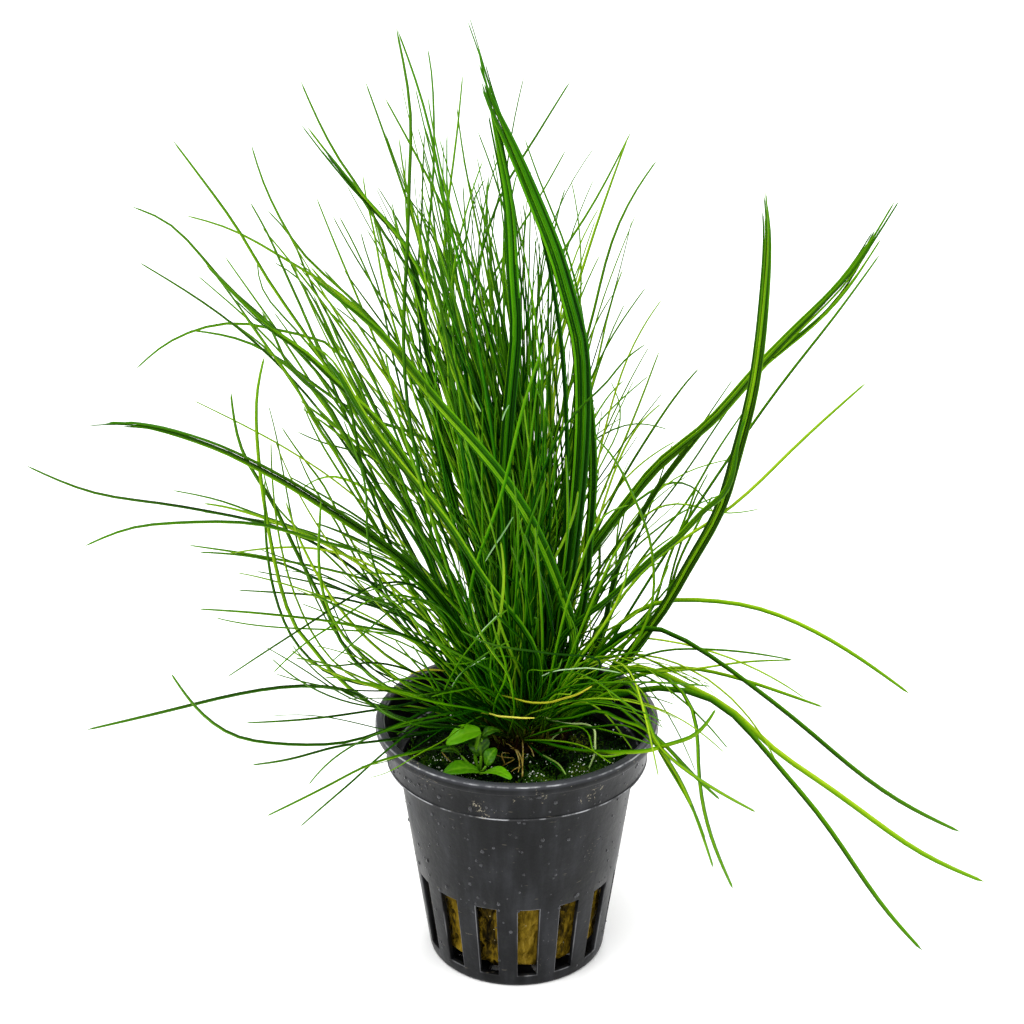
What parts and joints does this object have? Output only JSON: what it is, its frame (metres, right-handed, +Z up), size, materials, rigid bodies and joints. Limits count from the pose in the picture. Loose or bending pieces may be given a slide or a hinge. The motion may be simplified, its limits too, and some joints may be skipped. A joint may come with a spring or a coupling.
{
  "type": "potted dwarf hairgrass",
  "caption": "Aquarium dwarf hairgrass rooted in a mineral wool plug in a small slotted net pot, with long thin arching leaves, moss and a seedling on the plug.",
  "frame": {"origin": "centre of the pot's flat base, on the surface it stands on", "axes": "+Z up along the pot's axis, -Y towards the side shown in front, +X to the right seen from that side"},
  "size_m": [0.175, 0.16, 0.1911],
  "materials": {
    "pot_plastic": "wet satin black plastic with fine scuffs",
    "mineral_wool": "wet matted mineral wool, olive brown",
    "crown": "damp dark brown stem bases",
    "moss": "wet dark green moss",
    "moss_yellow": "wet yellow-green moss",
    "wet_leaf": "wet dark green leaves that cling together",
    "leaf": "thin satin green leaves, paler at the tips",
    "seedling": "glossy bright green oval leaves",
    "runner": "smooth pale green runner",
    "root": "thin beige roots",
    "dead_leaf": "dry straw yellow leaf"
  },
  "bodies": {
    "root": {"crown": "crown", "dead_leaf_arched": "dead_leaf", "dead_leaf_left": "dead_leaf", "dead_leaf_low": "dead_leaf", "moss_front": "moss", "moss_left": "moss", "moss_right": "moss", "moss_yellow": "moss_yellow", "net_pot": "pot_plastic", "rockwool_plug": "mineral_wool", "root_long": "root", "root_short": "root", "runner": "runner", "seedling_leaf_1": "seedling", "seedling_leaf_2": "seedling", "seedling_leaf_3": "seedling", "seedling_leaf_4": "seedling", "seedling_leaf_5": "seedling", "seedling_leaf_6": "seedling", "seedling_leaf_7": "seedling", "seedling_stem": "seedling", "strand_beside_top": "wet_leaf", "strand_cross_slim": "wet_leaf", "strand_cross_wide": "wet_leaf", "strand_far_right": "wet_leaf", "strand_left": "wet_leaf", "strand_middle": "wet_leaf", "strand_right": "wet_leaf", "strand_top": "wet_leaf", "strand_top_left": "wet_leaf", "tuft_back": "leaf", "tuft_back_left": "leaf", "tuft_back_right": "leaf", "tuft_front_left": "leaf", "tuft_front_right": "leaf", "tuft_left": "leaf", "tuft_left_back": "leaf", "tuft_left_front": "leaf", "tuft_middle_left_back": "leaf", "tuft_middle_left_front": "leaf", "tuft_middle_right_back": "leaf", "tuft_middle_right_front": "leaf", "tuft_right": "leaf", "tuft_right_back": "leaf", "tuft_right_front": "leaf"}
  },
  "joints": []
}
